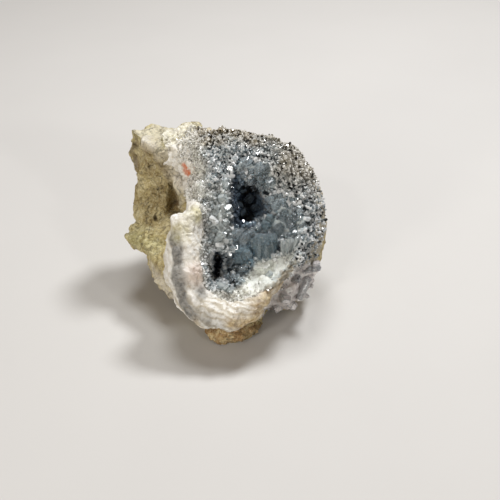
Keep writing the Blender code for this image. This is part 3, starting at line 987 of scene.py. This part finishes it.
def lining_material():
    made = Material("celestite_lining")
    patches = made.noise(2.4, 5.0, 0.6)
    fine = made.noise(0.5, 3.0, 0.7)
    blue = made.ramp(patches, (0.3, (142, 156, 162)), (0.5, (184, 194, 196)), (0.7, (222, 226, 224)))
    brown = made.mix(made.between(patches, 0.35, 0.65), (110, 98, 78), (182, 170, 144))
    colour = made.over(blue, blue=(140, 164, 178), white=(230, 231, 222), ochre=brown)
    colour = made.mix(made.between(fine, 0.55, 0.75, 0.0, 0.5), colour, (80, 84, 88))
    # Painted shade: the deep pit and the slit are near black at their mouths and paler further in, where the
    # depth itself shades them
    deep = made.mix("far", (66, 76, 88), (150, 174, 198))
    colour = made.mix("dark", colour, deep)
    made.set(Base_Color=colour, Roughness=0.4)
    made.set(Normal=made.bump(fine, 0.2, 0.6))
    return made


CRYSTALS = {
    # growth lines' two colours, roughness, share of light let through, tint of the depth and its strength
    "celestite_crystals": ((206, 222, 230), (248, 252, 254), 0.0, 0.8, (0.46, 0.66, 0.78), 60.0),
    "celestite_blue_crystals": ((134, 158, 168), (204, 220, 226), 0.0, 0.72, (0.46, 0.65, 0.74), 95.0),
    "celestite_frosted_crystals": ((186, 198, 200), (238, 242, 240), 0.12, 0.5, (0.6, 0.72, 0.78), 50.0),
    # The crystals in the deep pit are dark as painted shade
    "celestite_dark_crystals": ((92, 108, 122), (146, 164, 178), 0.0, 0.2, (0.3, 0.45, 0.6), 200.0),
    "flank_prisms": ((222, 226, 230), (252, 252, 253), 0.0, 0.88, (0.66, 0.74, 0.8), 40.0),
    "flank_small_crystals": ((206, 201, 201), (246, 244, 243), 0.05, 0.25, (0.75, 0.75, 0.8), 10.0),
}
CELESTITE_IOR = 1.62


def crystal_material(name):
    """See-through crystal, striped along its length by fine growth lines."""
    line, between_lines, rough, through, tint, density = CRYSTALS[name]
    made = Material(name)
    lines = made.noise(0.42, 3.0, 0.6, place=made.attribute("grown", "Vector"))
    haze = made.noise(2.2, 3.0, 0.55)
    made.set(Base_Color=made.mix(made.between(lines, 0.35, 0.65), line, between_lines))
    made.set(Roughness=made.between(haze, 0.5, 0.75, rough, rough + 0.05))
    made.set(Transmission_Weight=through, IOR=CELESTITE_IOR, Normal=made.bump(lines, 0.06, 0.5))
    absorb = made.node("ShaderNodeVolumeAbsorption", {"Color": (*tint, 1.0), "Density": density})
    made.put(made.tree.nodes["Material Output"].inputs["Volume"], absorb.outputs["Volume"])
    return made


def edge_material():
    """The bright edges of the crystals, where the light inside them comes out."""
    made = Material("celestite_edges")
    worn = made.noise(0.7, 3.0, 0.6)
    made.set(Base_Color=made.mix(made.between(worn, 0.4, 0.7), (120, 142, 156), (222, 232, 236)))
    made.set(Roughness=made.between(worn, 0.35, 0.65, 0.08, 0.2), Transmission_Weight=0.7, IOR=CELESTITE_IOR)
    return made


def druse_material():
    made = Material("celestite_druse")
    tone_and_glitter = made.attribute("tone_and_glitter")
    calm = made.attribute("calm")
    tone_and_glitter = made.math("MULTIPLY", tone_and_glitter, made.between(calm, 0.0, 1.0, 1.0, 0.4))
    tone_and_glitter = made.math("ADD", tone_and_glitter, made.math("MULTIPLY", calm, 0.2))
    # Random tone per grain with painted glitter: the ramps run from near black to near white, so single
    # grains stand in for glints and dark reflections; calm places get less of it
    grey = made.ramp(tone_and_glitter, (0.05, (34, 40, 44)), (0.26, (138, 152, 158)), (0.7, (250, 252, 252)))
    blue = made.ramp(tone_and_glitter, (0.0, (60, 76, 90)), (0.35, (136, 162, 176)), (0.85, (236, 244, 246)))
    brown = made.ramp(tone_and_glitter, (0.05, (34, 29, 22)), (0.3, (144, 132, 106)), (0.75, (250, 247, 238)))
    white = made.ramp(tone_and_glitter, (0.0, (186, 184, 172)), (0.25, (230, 228, 219)), (0.7, (252, 251, 246)))
    # Painted shade: grains in the deep pit and the slit are near black at the mouth and paler further in,
    # where the depth itself shades them
    deep = made.mix("far", (72, 84, 98), (156, 180, 202))
    colour = made.over(grey, blue=blue, white=white, ochre=brown, dark=deep)
    made.set(Base_Color=colour, Roughness=made.between(calm, 0.0, 1.0, 0.06, 0.3))
    made.set(Transmission_Weight=0.3, IOR=CELESTITE_IOR)
    return made


def needle_rows(chance):
    """Places slim crystals side by side along a line."""
    rows = []
    for start, end, count, (lean_right, lean_up), width, length in NEEDLES:
        for index in range(count):
            share = index / (count - 1)
            px, py = (a + (b - a) * share + chance.uniform(-1.5, 1.5) for a, b in zip(start, end))
            lean = lean_right + chance.uniform(-0.3, 0.3), lean_up + chance.uniform(-0.3, 0.3)
            wide = width * chance.uniform(0.7, 1.3)
            long = length * chance.uniform(0.7, 1.2)
            rows.append((px, py, *lean, wide, 0.8 * wide, long, chance.uniform(0, 90)))
    return rows


def build_lining():
    """The wall of the hollow, with the solid's crystals pressed flat."""
    lining = dense_copy("crystal_crust", "celestite_lining", LINING_VOXELS[0], 0)
    move_to(lining.data, flatten_crystals(points_of(lining.data)))
    return softened(evened(lining, LINING_VOXELS[1]), 6)


def finish_lining(lining):
    mesh = lining.data
    points, normals = points_of(mesh), normals_of(mesh)
    _, _, owner, way = grains(points, 1.2, 101)
    tilt = np.stack([scrambled(owner, 5 + axis) for axis in range(3)], 1) - 0.5
    height = 0.9 * np.sum(way * tilt, axis=1) + 0.3 * fractal(points, 3.0, 3, 103)
    move_to(mesh, points + normals * height[:, None] * MM)
    for name, values in hollow_masks(points).items():
        keep(mesh, name, values)
    finish_piece(lining, lining_material(), "crystal_crust")


def build_druse(name, points, normals, widths, chance):
    axes, across = leaning(normals, chance, LEAN)
    druse = small_crystals(name, points, axes, across, widths, chance)
    for mask, values in hollow_masks(points_of(druse.data)).items():
        keep(druse.data, mask, values)
    finish_piece(druse, druse_material(), None, False)


def build_fringe(edges, crust, chance):
    """Small crystals that have spread from the hollow onto the stone around it."""
    scattered = [scatter(edge.data, 45000, chance) for edge in edges]
    spots, normals = (np.concatenate(part) for part in zip(*scattered))
    near_crust = np.array([crust.find_nearest(Vector(point), 0.006)[3] or 9.0 for point in spots]) / MM
    px, py = to_pixels(spots)
    reach = 0.7 + 2.6 * step(*FRINGE_RIGHT, px) + 2.6 * step(*FRINGE_TOP, py) * step(*FRINGE_LEFT, px)
    grown = chance.random(len(spots)) < np.exp(-((near_crust / reach) ** 2)) * 0.9
    grown &= normals @ TO_VIEWER > -0.2
    grown &= chance.random(len(spots)) > within(px, py, RIM_STRIP, 2.0)
    grown &= chance.random(len(spots)) > 0.6 * within(px, py, WHITE_ZONE, 3.0)
    grown &= np.hypot(px - ORANGE_MIDDLE[0], py - ORANGE_MIDDLE[1]) > 8.0
    spots, normals = spots[grown], normals[grown]
    widths = SMALLEST * chance.uniform(0.6, 1.35, len(spots))
    kept = spaced(spots, widths, 0.42)
    build_druse("celestite_fringe", spots[kept], normals[kept], widths[kept], chance)


def build_hollow(lining, covers):
    chance = np.random.default_rng(7)
    ground = tree_of(lining)
    spots, normals = scatter(lining.data, 60000, chance)
    free = in_the_open(spots, normals, covers)
    spots, normals = spots[free], normals[free]
    widths = crystal_sizes(spots, chance)
    masks = hollow_masks(spots)
    clear, blue, frosted, dark = (new_shape() for _ in range(4))
    taken = placed_crystals(blue, ground, chance, BLUE_PLACED, 0.3)
    taken += placed_crystals(clear, ground, chance, CLEAR_PLACED, 0.4)
    taken += placed_crystals(frosted, ground, chance, FROSTED_PLACED, 0.4)
    taken += placed_crystals(clear, ground, chance, needle_rows(chance), 0.2)
    taken += placed_crystals(dark, ground, chance, PIT_SHADE_PLACED, 0.0)
    kept = spaced(spots, widths, 0.40, taken)
    seen = to_pixels(spots[kept])
    bare = np.maximum(within(*seen, PALE_SHELF, 4.0) * 0.85, within(*seen, RIM_STRIP, 2.0))
    kept = kept[chance.random(len(kept)) > bare]
    spots, normals, widths = spots[kept], normals[kept], widths[kept]
    big = widths > BIGGEST_DRUSE
    shadowed = masks["dark"][kept] > 0.5
    pale = (masks["calm"][kept] > 0.5) & ~shadowed
    deep = (masks["blue"][kept] > 0.5) & ~pale & ~shadowed
    rest = ~shadowed & ~pale & ~deep
    for shape, kind in ((clear, rest), (blue, deep), (frosted, pale), (dark, shadowed)):
        chosen = big & kind
        axes, across = leaning(normals[chosen], chance, LEAN)
        add_scattered(shape, spots[chosen], axes, across, widths[chosen], chance)
    for kind, shape in (("", clear), ("blue_", blue), ("frosted_", frosted), ("dark_", dark)):
        crystal_piece(f"celestite_{kind}crystals", shape)
    build_druse("celestite_druse", spots[~big], normals[~big], widths[~big], chance)
    finish_lining(lining)


FLANK_CLEAR = (
    # pixel, lean right and up, width, depth, length, spin
    (305, 271, 2.2, 0.5, 2, 1.7, 6.8, 15),  # points out to the right
    (300, 297, 1.2, 2.8, 2.4, 2, 9, 10),  # stands upright
    (296, 279, 0.6, 0.3, 2.8, 2.4, 3.4, 35),
)
FLANK_PLACED = (
    (285, 299, 0.4, -0.1, 3.8, 2.8, 3.6, -20),
    (293, 308, 0.8, -0.6, 3.2, 2.6, 4.2, 50),
    (298, 267, 0.8, 0.6, 2.6, 2.2, 3.6, 5),
    (277, 310, 0.4, -0.6, 3, 2.4, 3.6, 28),
)
FLANK_SEAM = ((1.0, 1.6, 0.8, (262, 308), (276, 285), (288, 268), (300, 257)),)
FLANK_VOXEL = 0.3


def flank_material():
    made = Material("flank")
    patches = made.noise(3.0, 5.0, 0.6, 0.4)
    fine = made.noise(0.5, 3.0, 0.7)
    colour = made.ramp(patches, (0.3, (178, 172, 170)), (0.5, (220, 215, 212)), (0.7, (248, 246, 243)))
    colour = made.mix("seam", colour, (140, 122, 108))
    colour = made.mix(made.between(fine, 0.58, 0.75, 0.0, 0.5), colour, (158, 146, 140))
    made.set(Base_Color=colour, Roughness=0.35)
    made.set(Subsurface_Weight=0.2, Subsurface_Radius=(0.0015, 0.0013, 0.0014), Subsurface_Scale=1.0)
    made.set(Normal=made.bump(fine, 0.2, 0.6))
    return made


def build_flank(covers):
    chance = np.random.default_rng(17)
    flank = dense_copy("flank_crystals", "flank_mass", FLANK_VOXEL, 5)
    mesh = flank.data
    ground = tree_of(flank)
    clear, frosted = new_shape(), new_shape()
    taken = placed_crystals(clear, ground, chance, FLANK_CLEAR, 0.0)
    taken += placed_crystals(frosted, ground, chance, FLANK_PLACED, 0.0)
    spots, normals = scatter(mesh, 5000, chance)
    free = in_the_open(spots, normals, covers)
    spots, normals = spots[free], normals[free]
    widths = 0.5 + 2.0 * chance.random(len(spots)) ** 3
    kept = spaced(spots, widths, 0.55, taken)
    kept = kept[chance.random(len(kept)) < 0.16]
    spots, normals, widths = spots[kept], normals[kept], widths[kept]
    axes, across = leaning(normals, chance, 0.3)
    add_scattered(frosted, spots, axes, across, widths, chance)
    crystal_piece("flank_prisms", clear)
    crystal_piece("flank_small_crystals", frosted)
    points, normals = points_of(mesh), normals_of(mesh)
    height = 1.1 * chipped(warped(points, 3.0, 0.6, 121), 3.2, 123, 3.0) + 0.4 * fractal(points, 3.0, 3, 125)
    height += 0.5 * chipped(points, 1.3, 127, 2.0)
    move_to(mesh, points + normals * height[:, None] * MM)
    keep(mesh, "seam", marks(ground, points, FLANK_SEAM))
    finish_piece(flank, flank_material(), "flank_crystals")


def build_all():
    lining = build_lining()
    crust = tree_of(lining)
    rock = build_rock(crust, tree_of(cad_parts["rind"]))
    rind = build_rind()
    covers = [tree_of(rock), tree_of(rind)]
    build_hollow(lining, covers)
    build_fringe((rock, rind), crust, np.random.default_rng(27))
    build_flank(covers)


build_all()


# Floor, light and camera


FLOOR_SIDE = 3.0
FLOOR_COLOURS = (0.585, 0.575, 0.555, 1.0), (0.615, 0.605, 0.585, 1.0)
LIGHT_AIM = Vector((0.0, 0.0, 0.025))
LIGHTS = (
    # name, place, size, power, colour
    ("key", (0.24, 0.24, 0.62), 0.14, 3.5, (0.97, 0.98, 1.0)),
    ("overhead", (-0.04, 0.20, 0.74), 0.26, 2.4, (0.98, 0.99, 1.0)),
    ("front", (-0.42, -0.56, 0.17), 0.16, 1.95, (1.0, 0.965, 0.91)),
    ("glint_left", (-0.20, -0.46, 0.46), 0.05, 0.4, (1.0, 1.0, 1.0)),
    ("glint_right", (0.34, -0.44, 0.30), 0.05, 0.55, (1.0, 1.0, 1.0)),
)
AMBIENT_COLOUR = (1.0, 0.66, 0.38, 1.0)
AMBIENT_STRENGTH = 0.10


def build_floor():
    mesh = bpy.data.meshes.new("floor")
    side = FLOOR_SIDE
    corners = [(-side, -side, 0.0), (side, -side, 0.0), (side, side, 0.0), (-side, side, 0.0)]
    mesh.from_pydata(corners, [], [(0, 1, 2, 3)])
    floor = new_object("floor", mesh)
    made = Material("floor")
    made.set(Base_Color=made.mix(made.noise(60.0, 3.0, 0.5), *FLOOR_COLOURS), Roughness=0.85)
    mesh.materials.append(made.material)


def add_light(name, place, size, power, colour):
    light = bpy.data.lights.new(name, "AREA")
    light.shape = "DISK"
    light.size = size
    light.energy = power
    light.color = colour
    obj = new_object(name, light)
    obj.location = place
    obj.rotation_mode = "QUATERNION"
    obj.rotation_quaternion = (LIGHT_AIM - Vector(place)).to_track_quat("-Z", "Y")


def build_studio():
    build_floor()
    for light in LIGHTS:
        add_light(*light)
    world = bpy.data.worlds.new("studio")
    bpy.context.scene.world = world
    world.use_nodes = True
    background = world.node_tree.nodes["Background"]
    background.inputs["Color"].default_value = AMBIENT_COLOUR
    background.inputs["Strength"].default_value = AMBIENT_STRENGTH
    bpy.context.scene.view_settings.view_transform = "Standard"


def build_camera():
    camera = bpy.data.cameras.new("camera")
    camera.sensor_width = 36.0
    camera.lens = camera.sensor_width / 2 / VIEW_HALF
    camera.clip_start = 0.01
    obj = new_object("camera", camera)
    obj.matrix_world = SEEN @ Matrix.Translation(CAMERA_SEEN * MM)
    bpy.context.scene.camera = obj


build_studio()
build_camera()
